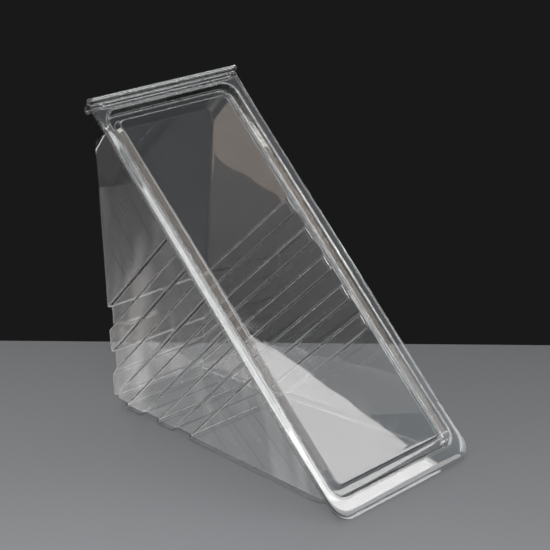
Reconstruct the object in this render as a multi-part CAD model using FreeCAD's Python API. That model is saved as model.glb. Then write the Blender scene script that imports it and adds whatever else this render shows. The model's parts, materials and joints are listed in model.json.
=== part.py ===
"""Hinged sandwich wedge: a clear thermoformed tray with belted walls and a lid on a folded hinge.

The pack is modelled lying flat on its mouth plane and is turned to its rest at the very end.
Its own axes: X across the width, Y ("along") from the hinge down the lid's slope, and
Z ("deep") from the mouth into the tray. At rest it stands on one square wall, lid to -Y, +Z up.
"""
import FreeCAD, Part
import math
import os

Vec = FreeCAD.Vector

# ---- driving dimensions, millimetres and degrees -------------------------------------------
SHEET = 0.45              # formed wall
LID_SLOPE = 45.0          # lid against the table

LID_WIDTH = 78.0          # flange, outside
LID_LENGTH = 182.0        # hinge line to the lid's front edge
LIP_REACH = 1.8           # how far the tray's front lip shows past the lid
FRONT_CORNER = 7.5        # radius of the flange's two front corners
REAR_CORNER = 1.0         # and of the two at the hinge

SIDE_FLANGE = 4.0         # flat flange beside the mouth
FRONT_FLANGE = 7.4        # flat flange in front of the mouth
MOUTH_START = 4.7         # hinge line to the mouth
MOUTH_CORNER = 6.5        # mouth corner radius, inside face
SEAT_DEPTH = 3.6          # mouth plane down to the ledge that the lid's plug sits over
SEAT_DRAFT = 6.0
LEDGE = 1.6               # width of that ledge

WALL_DRAFT = 5.0          # side and end walls of the tray
WALL_CORNER = 5.0         # upright corners between side and end walls
EDGE_RADIUS = 2.6         # side wall to square wall
APEX_RADIUS = 3.0         # where the two square walls meet
BACK_OFFSET = 5.0         # back wall's outer face behind the hinge line, at rest

BELT_COUNT = 5            # stiffening belts round the tray
BELT_PITCH = 13.9
BELT_SHIFT = 0.9          # middle belt's centre, in front of the apex
BELT_MOUTH = 8.0          # belt width at the wall face
BELT_FLOOR = 4.8          # and at its floor
BELT_DEPTH = 1.4
BELT_START = 0.4          # below the ledge's underside
BELT_RAMP = 1.6           # depth over which a belt runs in from the wall face

LID_GAP = 0.25            # lid flange over tray flange
PLUG_CLEARANCE = 0.3      # lid's plug inside the mouth, and over the ledge
CHANNEL_RUN = 1.1         # how far each channel wall leans in over its height
CHANNEL_FLOOR = 2.3       # flat floor of the channel
PANEL_DROP = 0.6          # lid's window below its flange
PANEL_CORNER = 4.0
SHOULDER = 0.7            # bend radius along the formed edges

HINGE_EDGE = -0.9         # back face of both flanges
LID_BEAD_WIDTH = 2.2      # bead along the lid's hinge edge
LID_BEAD_HEIGHT = 2.3
TRAY_BEAD_WIDTH = 3.2     # bead under the tray's hinge edge
TRAY_BEAD_HEIGHT = 3.2
TRAY_BEAD_START = 1.0     # from the hinge edge
BAR_WIDTH = 2.2           # low stiffening bar in front of the lid's bead
BAR_HEIGHT = 0.9
BAR_MARGIN = 4.5          # bar's ends inside the flange's
BAR_CORNER = 0.8
BAR_START = 2.6           # from the hinge edge
STRIP_LEG = 0.2           # straight part of the folded strip
STRIP_MARGIN = 1.0        # strip's ends inside the flange's

# ---- sizes that follow ------------------------------------------------------------------------
SIN = math.sin(math.radians(LID_SLOPE))
COS = math.cos(math.radians(LID_SLOPE))
HALF_WIDTH = LID_WIDTH / 2
TRAY_LENGTH = LID_LENGTH + LIP_REACH
HINGE_HEIGHT = TRAY_LENGTH * SIN + SHEET * COS   # hinge line above the table
MOUTH_HALF = HALF_WIDTH - SIDE_FLANGE
MOUTH_END = TRAY_LENGTH - FRONT_FLANGE
SEAT_LEAN = SEAT_DEPTH * math.tan(math.radians(SEAT_DRAFT))
BODY_INSET = SEAT_LEAN + LEDGE                   # inside face of the body, in from the mouth
BELT_TOP = SEAT_DEPTH + SHEET + BELT_START
BELT_LEAN = (BELT_MOUTH - BELT_FLOOR) / 2
APEX_ALONG = HINGE_HEIGHT * SIN - BACK_OFFSET * COS
APEX_DEEP = HINGE_HEIGHT * COS + BACK_OFFSET * SIN
BEYOND = 12.0                                    # how far cutting tools run past the part


def wall_deep(along, inset):
    """Depth of the square walls' faces, moved in by inset, under a point of the mouth plane."""
    bottom = (HINGE_HEIGHT - inset - along * SIN) / COS
    back = (BACK_OFFSET - inset + along * COS) / SIN
    return min(bottom, back)


def side_half(deep, inset):
    """Half width between the drafted side walls' outer faces, moved in by inset."""
    draft = math.radians(WALL_DRAFT)
    outer = MOUTH_HALF - BODY_INSET + SHEET / math.cos(draft)
    return outer - (deep - SEAT_DEPTH) * math.tan(draft) - inset / math.cos(draft)


def line(a, b):
    return Part.LineSegment(a, b).toShape()


def arc(a, m, b):
    return Part.Arc(a, m, b).toShape()


def polygon(points):
    return Part.makePolygon(list(points) + [points[0]])


def rounded_loop(half, near, far, deep, radius):
    """Rounded rectangle, centred across the part, at one depth."""
    middle = (near + far) / 2
    across = half - radius
    along = far - middle - radius
    corners = []
    for i, (x, y) in enumerate(((1, 1), (-1, 1), (-1, -1), (1, -1))):
        centre = Vec(x * across, middle + y * along, deep)
        corners.append(Part.makeCircle(radius, centre, Vec(0, 0, 1), 90 * i, 90 * i + 90))
    loop = []
    for i, corner in enumerate(corners):
        following = corners[(i + 1) % 4]
        loop += [corner, line(corner.Vertexes[-1].Point, following.Vertexes[0].Point)]
    return Part.Wire(loop)


def rounded_frustum(half, near, far, top, bottom, lean, radius):
    """Rounded block between two depths. It is lean smaller all round at the bottom."""
    ends = [
        rounded_loop(half, near, far, top, radius),
        rounded_loop(half - lean, near + lean, far - lean, bottom, radius - lean),
    ]
    return Part.makeLoft(ends, True, True)


def mouth_block(start, stop, inset_at, radius):
    """Rounded block concentric with the mouth; inset_at(depth) is its side's inset from the edge."""
    first = inset_at(start)
    return rounded_frustum(
        MOUTH_HALF - first, MOUTH_START + first, MOUTH_END - first,
        start, stop, inset_at(stop) - first, radius,
    )


def flange_plate(length, top):
    """Flat sheet from the hinge edge to its front edge, with rounded corners."""
    plate = Part.makeBox(
        LID_WIDTH, length - HINGE_EDGE, SHEET, Vec(-HALF_WIDTH, HINGE_EDGE, top)
    )
    upright = [e for e in plate.Edges if abs(e.Vertexes[0].Z - e.Vertexes[1].Z) > SHEET / 2]
    front = [e for e in upright if e.Vertexes[0].Y > length / 2]
    plate = plate.makeFillet(FRONT_CORNER, front)
    rear = [
        e for e in plate.Edges
        if abs(e.Vertexes[0].Z - e.Vertexes[-1].Z) > SHEET / 2 and e.Vertexes[0].Y < length / 2
    ]
    return plate.makeFillet(REAR_CORNER, rear)


def bent_corner(before, corner, after, radius):
    """Start, middle and end of an arc of the given radius that rounds a corner."""
    back = (before - corner).normalize()
    on = (after - corner).normalize()
    opening = back.getAngle(on)
    run = radius / math.tan(opening / 2)
    bisector = (back + on).normalize()
    centre = corner + bisector * (radius / math.sin(opening / 2))
    return corner + back * run, centre - bisector * radius, corner + on * run


def solid_along_x(wire_or_edges, half):
    """Section in the along-deep plane, drawn at X = 0, swept to both sides."""
    face = Part.Face(Part.Wire(wire_or_edges))
    face.translate(Vec(-half, 0, 0))
    return face.extrude(Vec(2 * half, 0, 0))


# ---- tray --------------------------------------------------------------------------------------
def side_profile(inset):
    """Tray seen from the side: two end walls and two square walls with a round apex."""
    draft = math.tan(math.radians(WALL_DRAFT))
    shift = inset / math.cos(math.radians(WALL_DRAFT))
    skin = SHEET / math.cos(math.radians(WALL_DRAFT))
    near = MOUTH_START + BODY_INSET - skin + shift
    far = MOUTH_END - BODY_INSET + skin - shift
    top = SEAT_DEPTH - (SHEET if inset else 0)
    apex = Vec(0, APEX_ALONG - inset * (SIN - COS), APEX_DEEP - inset * (SIN + COS))
    near_top = near - (SEAT_DEPTH - top) * draft
    far_top = far + (SEAT_DEPTH - top) * draft
    # foot of each end wall, where it meets the square wall
    near_foot = meeting(near, draft, 1, inset)
    far_foot = meeting(far, draft, -1, inset)
    a, m, b = bent_corner(near_foot, apex, far_foot, APEX_RADIUS - inset)
    start = Vec(0, near_top, top)
    end = Vec(0, far_top, top)
    return [
        line(start, near_foot), line(near_foot, a), arc(a, m, b),
        line(b, far_foot), line(far_foot, end), line(end, start),
    ]


def meeting(along, draft, way, inset):
    """Point where an end wall, drafted by way * draft from along, reaches the square wall."""
    if way > 0:   # back wall: deep = (BACK_OFFSET - inset + along * COS) / SIN
        level, rate = (BACK_OFFSET - inset) / SIN, COS / SIN
    else:         # bottom wall: deep = (HINGE_HEIGHT - inset - along * SIN) / COS
        level, rate = (HINGE_HEIGHT - inset) / COS, -SIN / COS
    lean = way * draft
    deep = (level + rate * (along - lean * SEAT_DEPTH)) / (1 - rate * lean)
    return Vec(0, along + lean * (deep - SEAT_DEPTH), deep)


def body_form(inset):
    """Solid wedge within the tray's outer face, moved in by inset, with every corner round."""
    top = SEAT_DEPTH - (SHEET if inset else 0)
    deepest = APEX_DEEP + BEYOND
    across = polygon([
        Vec(-side_half(top, inset), 0, top), Vec(side_half(top, inset), 0, top),
        Vec(side_half(deepest, inset), 0, deepest), Vec(-side_half(deepest, inset), 0, deepest),
    ])
    prism = Part.Face(across).extrude(Vec(0, TRAY_LENGTH, 0))
    form = prism.common(solid_along_x(side_profile(inset), HALF_WIDTH))
    upright = [e for e in form.Edges if is_upright(e)]
    form = form.makeFillet(WALL_CORNER - inset, upright)
    rim = [e for e in form.Edges if is_wall_edge(form, e, top)]
    return form.makeFillet(EDGE_RADIUS - inset, rim)


def is_upright(edge):
    """Corner between a side wall and an end wall: from the top down, leaning only by the draft."""
    a, b = edge.Vertexes[0].Point, edge.Vertexes[-1].Point
    run = (b - a)
    return run.Length > 1 and abs(run.z) > 0.95 * run.Length


def is_wall_edge(form, edge, top):
    """Edge where a square wall meets a side or an end wall or the round between them."""
    middle = edge.valueAt((edge.FirstParameter + edge.LastParameter) / 2)
    if middle.z < top + 1:
        return False
    square = 0
    for face in form.ancestorsOfType(edge, Part.Face):
        u0, u1, v0, v1 = face.ParameterRange
        square += abs(face.normalAt((u0 + u1) / 2, (v0 + v1) / 2).z) > 0.4
    return square == 1


def belt_section(along, inset, radius, ramp_shift):
    """Closed section across the tray at one place along it, with the walls moved in by inset."""
    face_inset = -1.0
    top = SEAT_DEPTH - 2
    ramp_top = BELT_TOP - ramp_shift
    ramp_foot = BELT_TOP + BELT_RAMP + ramp_shift
    floor = wall_deep(along, inset)
    rim = Vec(side_half(top, face_inset), along, top)
    high = Vec(side_half(ramp_top, face_inset), along, ramp_top)
    low = Vec(side_half(ramp_foot, inset), along, ramp_foot)
    corner = Vec(side_half(floor, inset), along, floor)
    a, m, b = bent_corner(low, corner, Vec(0, along, floor), radius)

    def mirrored(p):
        return Vec(-p.x, p.y, p.z)

    right = [line(rim, high), line(high, low), line(low, a), arc(a, m, b)]
    left = [
        arc(mirrored(b), mirrored(m), mirrored(a)), line(mirrored(a), mirrored(low)),
        line(mirrored(low), mirrored(high)), line(mirrored(high), mirrored(rim)),
    ]
    return Part.Wire(right + [line(b, mirrored(b))] + left + [line(mirrored(rim), rim)])


def belt_cutter(centre, skin):
    """What one belt takes off the body form whose faces lie skin inside the outer ones."""
    outside = 1.0
    lean_angle = math.atan2(BELT_DEPTH, BELT_LEAN)
    shift = skin * math.tan(lean_angle / 2)
    reach = BELT_MOUTH / 2 + shift + (outside + skin) * BELT_LEAN / BELT_DEPTH
    floor = BELT_FLOOR / 2 + shift
    floor_radius = max(EDGE_RADIUS - skin - BELT_DEPTH / 2, 0.8)
    stations = [
        (-reach, -outside, EDGE_RADIUS + outside, 0), (-floor, BELT_DEPTH + skin, floor_radius, shift),
        (floor, BELT_DEPTH + skin, floor_radius, shift), (reach, -outside, EDGE_RADIUS + outside, 0),
    ]
    waist = Part.makeLoft([belt_section(centre + s, i, r, k) for s, i, r, k in stations], True, True)
    slab = Part.makeBox(
        2 * HALF_WIDTH, 2 * reach, APEX_DEEP, Vec(-HALF_WIDTH, centre - reach, SEAT_DEPTH - 1)
    )
    return slab.cut(waist)


def belted_form(inset):
    form = body_form(inset)
    for i in range(BELT_COUNT):
        centre = APEX_ALONG + BELT_SHIFT + (i - (BELT_COUNT - 1) / 2) * BELT_PITCH
        form = form.cut(belt_cutter(centre, inset))
    return form


def arch_section(start, width, foot, crown):
    """Section of a bead: two upright legs from foot and a round crown."""
    radius = width / 2
    turn = crown + math.copysign(radius, foot - crown)
    a, b = Vec(0, start, foot), Vec(0, start + width, foot)
    c, d = Vec(0, start + width, turn), Vec(0, start, turn)
    top = Vec(0, start + radius, crown)
    return [line(a, b), line(b, c), arc(c, top, d), line(d, a)]


def with_bead(sheet, start, width, mouth, foot, crown):
    """Adds a hollow, open-ended bead to a flange: foot is the flange face that it rises from."""
    skin = math.copysign(SHEET, foot - crown)
    solid = solid_along_x(arch_section(start, width, foot, crown), HALF_WIDTH)
    hollow = solid_along_x(
        arch_section(start + SHEET, width - 2 * SHEET, mouth, crown + skin), HALF_WIDTH + 1
    )
    return sheet.fuse(solid).cut(hollow)


def bend_ring(shape, level, inset, radius):
    """Rounds the ring that runs inset from the mouth's edge at one depth."""
    slack = SHEET / 8
    ring = []
    for edge in shape.Edges:
        box = edge.BoundBox
        flat = abs(box.ZMin - level) < slack and abs(box.ZMax - level) < slack
        reach = max(
            max(-box.XMin, box.XMax) - MOUTH_HALF, MOUTH_START - box.YMin, box.YMax - MOUTH_END
        )
        if flat and abs(reach + inset) < slack:
            ring.append(edge)
    return shape.makeFillet(radius, ring)


def make_tray():
    flange = flange_plate(TRAY_LENGTH, 0)
    flange = with_bead(
        flange, HINGE_EDGE + TRAY_BEAD_START, TRAY_BEAD_WIDTH, -1, SHEET / 2, SHEET + TRAY_BEAD_HEIGHT
    )
    lean = math.tan(math.radians(SEAT_DRAFT))
    skin = SHEET * math.hypot(1, lean)
    under = SEAT_DEPTH + SHEET

    def mouth_face(deep):
        return lean * deep

    def mouth_back(deep):
        return lean * deep - skin

    seat = mouth_block(0, under, mouth_back, MOUTH_CORNER + SHEET)
    hollow = mouth_block(-1, SEAT_DEPTH, mouth_face, MOUTH_CORNER)
    outside = flange.fuse([seat, belted_form(0)])
    tray = outside.cut(hollow.fuse(belted_form(SHEET))).removeSplitter()

    tray = bend_ring(tray, 0, mouth_face(0), SHOULDER)
    return bend_ring(tray, under, mouth_back(under), SHOULDER)


# ---- lid ---------------------------------------------------------------------------------------
def make_lid():
    top = -(LID_GAP + SHEET)
    under = -LID_GAP
    floor_under = SEAT_DEPTH - PLUG_CLEARANCE
    floor_top = floor_under - SHEET
    panel_top = top + PANEL_DROP
    panel_under = panel_top + SHEET
    lean = CHANNEL_RUN / (floor_under - under)
    skin = SHEET * math.hypot(1, lean)

    # the channel's two walls, each by its under face and its top face
    def outer_under(deep):
        return PLUG_CLEARANCE + lean * (deep - under)

    def outer_top(deep):
        return outer_under(deep) + skin

    def inner_top(deep):
        return outer_top(floor_top) + CHANNEL_FLOOR + lean * (floor_top - deep)

    def inner_under(deep):
        return inner_top(deep) + skin

    corner = MOUTH_CORNER - PLUG_CLEARANCE
    plug = mouth_block(under, floor_under, outer_under, corner)
    channel = mouth_block(top - 1, floor_top, outer_top, corner - SHEET)
    window = mouth_block(floor_top + SHEET / 2, panel_top, inner_top, PANEL_CORNER)
    hollow = mouth_block(floor_under + 1, panel_under, inner_under, PANEL_CORNER - SHEET)
    lid = flange_plate(LID_LENGTH, top).fuse(plug)
    lid = lid.cut(channel).fuse(window).cut(hollow).removeSplitter()
    lid = with_bead(lid, HINGE_EDGE, LID_BEAD_WIDTH, 0, top + SHEET / 2, top - LID_BEAD_HEIGHT)
    lid = with_bar(lid, top)

    lid = bend_ring(lid, top, outer_top(top), SHOULDER)
    return bend_ring(lid, panel_top, inner_top(panel_top), SHOULDER)


def with_bar(lid, top):
    """Low closed bar in front of the lid's bead, formed up out of the flange."""
    half = HALF_WIDTH - BAR_MARGIN
    near = HINGE_EDGE + BAR_START
    far = near + BAR_WIDTH
    crown = top - BAR_HEIGHT
    lean = BAR_HEIGHT / 5
    bar = rounded_frustum(half, near, far, top + SHEET / 2, crown, lean, BAR_CORNER)
    hollow = rounded_frustum(
        half - SHEET, near + SHEET, far - SHEET, top + SHEET + 0.1, crown + SHEET,
        lean, BAR_CORNER - SHEET,
    )
    return lid.fuse(bar).cut(hollow)


# ---- hinge -------------------------------------------------------------------------------------
def make_hinge_strip():
    """The sheet's fold behind the two flanges: out from the tray, round, and back to the lid."""
    middle = -LID_GAP / 2
    inner = LID_GAP / 2
    outer = inner + SHEET
    turn = HINGE_EDGE - STRIP_LEG

    def at(along, deep):
        return Vec(0, along, middle + deep)

    section = [
        line(at(HINGE_EDGE, outer), at(turn, outer)),
        arc(at(turn, outer), at(turn - outer, 0), at(turn, -outer)),
        line(at(turn, -outer), at(HINGE_EDGE, -outer)),
        line(at(HINGE_EDGE, -outer), at(HINGE_EDGE, -inner)),
        line(at(HINGE_EDGE, -inner), at(turn, -inner)),
        arc(at(turn, -inner), at(turn - inner, 0), at(turn, inner)),
        line(at(turn, inner), at(HINGE_EDGE, inner)),
        line(at(HINGE_EDGE, inner), at(HINGE_EDGE, outer)),
    ]
    return solid_along_x(section, HALF_WIDTH - STRIP_MARGIN)


# ---- rest pose and files -------------------------------------------------------------------------
def main():
    parts = {"tray": make_tray(), "lid": make_lid(), "hinge_strip": make_hinge_strip()}
    turn = FreeCAD.Placement(
        Vec(0, 0, HINGE_HEIGHT), FreeCAD.Rotation(Vec(1, 0, 0), 180 + LID_SLOPE)
    )
    standing = {}
    for name, shape in parts.items():
        shape.transformShape(turn.toMatrix())
        standing[name] = shape
    box = Part.makeCompound(list(standing.values())).optimalBoundingBox(False)
    shift = Vec(-(box.XMin + box.XMax) / 2, -(box.YMin + box.YMax) / 2, -box.ZMin)
    os.makedirs("parts", exist_ok=True)
    for name, shape in standing.items():
        shape.translate(shift)
        shape.exportStep(f"parts/{name}.step")
        print(name, "solids", len(shape.Solids), "valid", shape.isValid(), "volume", round(shape.Volume, 1))
    pivot = turn.multVec(Vec(0, HINGE_EDGE - STRIP_LEG - LID_GAP / 2 - SHEET, -LID_GAP / 2)) + shift
    print("hinge axis at Y", round(pivot.y, 4), "Z", round(pivot.z, 4), "shift", shift)
    print("box", box)


main()
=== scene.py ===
"""Looks of a clear hinged sandwich wedge: two formed sheets, the fold that joins them, and a table.

The two sheets are laid out flat on their mouth plane, as they leave the forming tool, and are then
turned to the pack's rest. In the pack's own axes X runs across the width, Y ("along") from the hinge
down the lid, and Z ("deep") from the mouth into the tray. All sizes are in metres.
"""
import json
import math

import bmesh
import bpy
from mathutils import Matrix, Vector


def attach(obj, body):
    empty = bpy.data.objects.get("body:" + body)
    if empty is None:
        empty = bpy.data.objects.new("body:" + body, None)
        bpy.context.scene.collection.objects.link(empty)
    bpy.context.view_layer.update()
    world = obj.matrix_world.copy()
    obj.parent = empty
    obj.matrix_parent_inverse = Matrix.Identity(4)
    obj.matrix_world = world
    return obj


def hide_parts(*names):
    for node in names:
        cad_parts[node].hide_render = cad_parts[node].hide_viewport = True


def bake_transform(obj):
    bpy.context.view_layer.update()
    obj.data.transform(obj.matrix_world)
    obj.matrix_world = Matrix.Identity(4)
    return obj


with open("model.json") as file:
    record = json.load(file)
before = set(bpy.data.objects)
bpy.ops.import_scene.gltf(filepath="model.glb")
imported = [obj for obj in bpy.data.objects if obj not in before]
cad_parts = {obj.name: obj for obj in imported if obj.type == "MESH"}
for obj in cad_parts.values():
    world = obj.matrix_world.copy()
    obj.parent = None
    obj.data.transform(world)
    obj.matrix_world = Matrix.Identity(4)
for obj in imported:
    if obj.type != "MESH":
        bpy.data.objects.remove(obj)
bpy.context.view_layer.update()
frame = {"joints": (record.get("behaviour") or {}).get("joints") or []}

bl_info = {
    "name": "Clear Sandwich Wedge",
    "version": (1, 0, 0),
    "blender": (4, 5, 0),
    "location": "View3D > Sidebar > Wedge",
    "description": "Formed clear sheets of a hinged sandwich wedge, with their table and lights",
    "category": "Object",
}

HINGE = frame["joints"][0]
MM = 0.001

# how the sheets are laid out
SAME_SPOT = 1e-7  # points closer than this are one
SLIVER = 16e-6  # shorter edges of a finished piece are closed up
SIDE_SPAN = (0.0145, 0.1625)  # straight part of the mouth's sides, along
END_SPAN = (-0.024, 0.024)  # straight part of the mouth's ends, across
FLANGE_ROWS = (0.35, 0.7)  # rows between a flange's edge and the mouth, as shares of the way
SOFT_BEND = 0.0004  # radius of the sheet's middle at its less tight bends
BEAD_BEND = 0.0003  # the same where a bead meets its flange
FLAT_LEAD = 0.0008  # flat flange that the section through the tray's mouth takes in
TRAY_BAND, LID_BAND = 0.00098, 0.0004  # mouth to the bands that hold the beads
DROOP_FADE = 0.022  # length over which the droop starts behind and ends in front
DROOP_PULL = 1.1  # how much of a hanging edge's outward swing is taken back
HELD = 1 / 12  # share of a panel's length, at either end, over which it starts to bow
TRAY_LOOSE = 0.8  # how freely the tray's walls bow, where the lid's window is 1

# how they look
BOW_REST = 0.7  # level of the long waves at which a panel is flat: high, so it sinks
BENT = (600, 1700)  # curvature, in 1/m, at which haze starts and at which it is full
CUT_EDGE = math.radians(60)  # edges sharper than this are rounded
SHARP = math.radians(42)  # edges sharper than this are shaded sharp
RUB_FROM, RUB_GAIN = 0.52, 4.0  # level of noise above which sheet is rubbed, and how fast that grows


def number(label, text, value, **kind):
    return bpy.props.FloatProperty(name=label, description=text, default=value, **kind)


def length(label, text, millimetres):
    return number(label, text, millimetres * MM, unit="LENGTH", precision=5)


def degrees(label, text, value):
    return number(label, text, math.radians(value), unit="ROTATION")


def share(label, text, value):
    return number(label, text, value, subtype="FACTOR")


def vector(label, text, value, **kind):
    return bpy.props.FloatVectorProperty(name=label, description=text, default=value, **kind)


def colour(label, text, value):
    return vector(label, text, value, subtype="COLOR", size=3, min=0, max=1)


class WedgeSheetSizes(bpy.types.PropertyGroup):
    """Sizes that the tray and the lid share"""

    thickness: length("Sheet", "Thickness of the formed sheet", 0.45)
    width: length("Width", "Across the flanges", 78.0)
    lid_length: length("Lid Length", "Hinge line to the lid's front edge", 182.8)
    lip_reach: length("Lip Reach", "Tray's lip past the lid's edge", 1.0)
    front_corner: length("Front Corner", "Radius of the flanges' front corners", 7.5)
    side_flange: length("Side Flange", "Flat beside the mouth", 4.0)
    front_flange: length("Front Flange", "Flat in front of the mouth", 7.4)
    mouth_start: length("Mouth Start", "Hinge line to the mouth", 4.7)
    mouth_corner: length("Mouth Corner", "Radius of the mouth's corners", 6.5)
    hinge_edge: length("Hinge Edge", "Hinge line to the flanges' back edge", -0.9)
    bend: length("Bend", "Middle radius of tight bends", 0.475)
    droop: length("Droop", "How far the side edges hang", 0.5)


class WedgeTraySizes(bpy.types.PropertyGroup):
    """Sizes of the belted tray"""

    slope: degrees("Lid Slope", "Lid against the table", 45.0)
    seat_depth: length("Seat Depth", "Mouth to the ledge", 3.6)
    seat_draft: degrees("Seat Draft", "Lean of the seat's wall", 6.0)
    ledge: length("Ledge", "Width of the ledge", 1.6)
    wall_draft: degrees("Wall Draft", "Lean of the body's walls", 5.0)
    wall_corner: length("Wall Corner", "Outer radius of the upright corners", 5.0)
    foot_round: length("Foot Round", "Outer radius between side and square walls", 1.5)
    apex_round: length("Apex Round", "Outer radius where the square walls meet", 2.4)
    back_offset: length("Back Offset", "Back wall behind the hinge line", 5.0)
    bead_start: length("Bead Start", "Hinge edge to the tray's bead", 1.0)
    bead_width: length("Bead Width", "Bead under the hinge flange", 3.2)
    bead_depth: length("Bead Depth", "How far that bead stands down", 3.2)


class WedgeBeltSizes(bpy.types.PropertyGroup):
    """Sizes of the belts pressed into the tray"""

    count: bpy.props.IntProperty(name="Belts", description="Belts round the tray", default=5, min=1)
    pitch: length("Pitch", "Belt to belt", 13.9)
    shift: length("Shift", "Middle belt in front of the apex", 0.9)
    mouth: length("Mouth", "Width where a belt leaves the wall", 7.35)
    floor: length("Floor", "Width at its floor", 5.95)
    depth: length("Depth", "How far a belt is pressed in", 1.4)
    start: length("Start", "Mouth to the top of a belt", 4.75)
    ramp: length("Ramp", "Run from there to a belt's floor", 1.2)
    bend: share("Bend", "Share of a flank that is bent", 0.6)


class WedgeLidSizes(bpy.types.PropertyGroup):
    """Sizes of the lid"""

    gap: length("Gap", "Lid flange over tray flange", 0.25)
    clearance: length("Clearance", "Plug inside the mouth and over the ledge", 0.3)
    channel_lean: length("Channel Lean", "Lean of a channel wall", 1.1)
    channel_floor: length("Channel Floor", "Flat floor of the channel", 2.3)
    panel_drop: length("Panel Drop", "Window below the flange", 0.6)
    panel_corner: length("Panel Corner", "Radius of the window's corners", 4.0)
    bead_width: length("Bead Width", "Bead along the hinge edge", 2.2)
    bead_height: length("Bead Height", "How far that bead stands up", 2.3)
    bar_start: length("Bar Start", "Hinge edge to the low bar", 2.6)
    bar_width: length("Bar Width", "Low bar in front of the bead", 2.2)
    bar_height: length("Bar Height", "How far the bar stands up", 0.9)
    bar_length: length("Bar Length", "Along the hinge", 69.0)


class WedgeHingeSizes(bpy.types.PropertyGroup):
    """Sizes of the folded strip"""

    leg: length("Leg", "Straight part beside each flange", 0.2)
    margin: length("Margin", "Ends inside the flanges' ends", 1.0)


class WedgeSheetLook(bpy.types.PropertyGroup):
    """Finish of the clear sheet"""

    tint: colour("Tint", "Colour of light that passes through", (0.955, 0.972, 0.975))
    index: number("Index", "Refractive index", 1.57, min=1)
    haze: share("Haze", "Roughness of untouched sheet", 0.01)
    scuff: share("Scuff", "Roughness added where it is rubbed", 0.06)
    bend_haze: share("Bend Haze", "Roughness added at bends and cut edges", 0.26)
    bow: length("Bow", "How far panels stray from flat", 0.03)
    bow_size: length("Bow Size", "Size of those long waves", 55.0)
    ripple: share("Ripple", "Strength of the fine unevenness", 0.03)


class WedgeStageLook(bpy.types.PropertyGroup):
    """Table, room, lights and camera"""

    # table colours: painted light in front and painted shade at the back edge, standing in for the lamps'
    # light falling off across the table
    table_painted_light_front: colour("Table Front", "Colour in front", (0.262, 0.266, 0.277))
    table_painted_shade_back: colour("Table Back", "Colour at its back edge", (0.098, 0.1, 0.104))
    backdrop: colour("Backdrop", "Dark studio behind the table", (0.0097, 0.0097, 0.0097))
    room: colour("Room", "Soft light from all round", (0.29, 0.295, 0.31))
    lens: number("Lens", "Focal length, 36 mm sensor", 111.434)
    heading: degrees("Heading", "Way the camera looks, clockwise from +Y", 47.0751)
    tilt: degrees("Tilt", "How far the camera looks down", 20.2705)
    roll: degrees("Roll", "Turn about the view axis", 0.471)
    place: vector(
        "Camera", "Camera's place", (-0.447985, -0.415312, 0.292864), subtype="TRANSLATION", unit="LENGTH"
    )


# ---- form shared by both sheets
class FormedSheet:
    """Middle surface of one formed sheet. Its rows of points are joined up by faces."""

    def __init__(self):
        self.points, self.draws, self.frees, self.faces = [], [], [], []

    def row(self, points, draws=None, frees=None):
        """Adds points. draws says how each moves for each metre of belt, frees how far it may bow."""
        first = len(self.points)
        self.points += [tuple(p) for p in points]
        self.draws += [tuple(d) for d in draws or [(0, 0, 0)] * len(points)]
        self.frees += frees or [0.0] * len(points)
        return list(range(first, len(self.points)))

    def strips(self, rows):
        """Faces between open rows that have the same number of points."""
        for a, b in zip(rows, rows[1:]):
            for i in range(len(a) - 1):
                self.faces.append((a[i], a[i + 1], b[i + 1], b[i]))

    def ring(self, outer, inner):
        self.strips([outer + outer[:1], inner + inner[:1]])

    def stitch(self, a, b):
        """Triangles between two rows across the sheet that have different stations."""
        i = j = 0
        while i < len(a) - 1 or j < len(b) - 1:
            step_a = j == len(b) - 1 or (
                i < len(a) - 1 and self.points[a[i + 1]][0] <= self.points[b[j + 1]][0]
            )
            if step_a:
                self.faces.append((a[i], a[i + 1], b[j]))
                i += 1
            else:
                self.faces.append((a[i], b[j + 1], b[j]))
                j += 1

    def mesh(self, name):
        mesh = bpy.data.meshes.new(name)
        mesh.from_pydata(self.points, [], self.faces)
        draw = mesh.attributes.new("draw", "FLOAT_VECTOR", "POINT")
        draw.data.foreach_set("vector", [x for d in self.draws for x in d])
        mesh.attributes.new("free", "FLOAT", "POINT").data.foreach_set("value", self.frees)
        close_up(mesh)
        return mesh


def close_up(mesh):
    """Makes one of points that lie on each other, and turns all faces the same way out."""
    bm = bmesh.new()
    bm.from_mesh(mesh)
    bmesh.ops.remove_doubles(bm, verts=bm.verts, dist=SAME_SPOT)
    bmesh.ops.recalc_face_normals(bm, faces=bm.faces)
    bm.to_mesh(mesh)
    bm.free()


def spread(start, stop, count):
    """count + 1 even stations from start to stop."""
    return [start + (stop - start) * i / count for i in range(count + 1)]


def arc_points(centre, radius, first, last, count):
    """Points on a circle in a section, from one angle to another."""
    return [
        (centre[0] + radius * math.cos(a), centre[1] + radius * math.sin(a))
        for a in spread(first, last, count)
    ]


def bent_section(corners, radii, steps=6):
    """Section through the given corners with each inner one bent to its radius."""
    line = [Vector(corners[0])]
    for before, corner, after, radius in zip(corners, corners[1:], corners[2:], radii):
        corner = Vector(corner)
        back = (Vector(before) - corner).normalized()
        on = (Vector(after) - corner).normalized()
        half = back.angle(on) / 2
        centre = corner + (back + on).normalized() * (radius / math.sin(half))
        run = radius / math.tan(half)
        start = corner + back * run - centre
        turn = start.angle_signed(corner + on * run - centre)
        for i in range(steps + 1):
            line.append(centre + Matrix.Rotation(-turn * i / steps, 2) @ start)
    line.append(Vector(corners[-1]))
    return line


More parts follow.
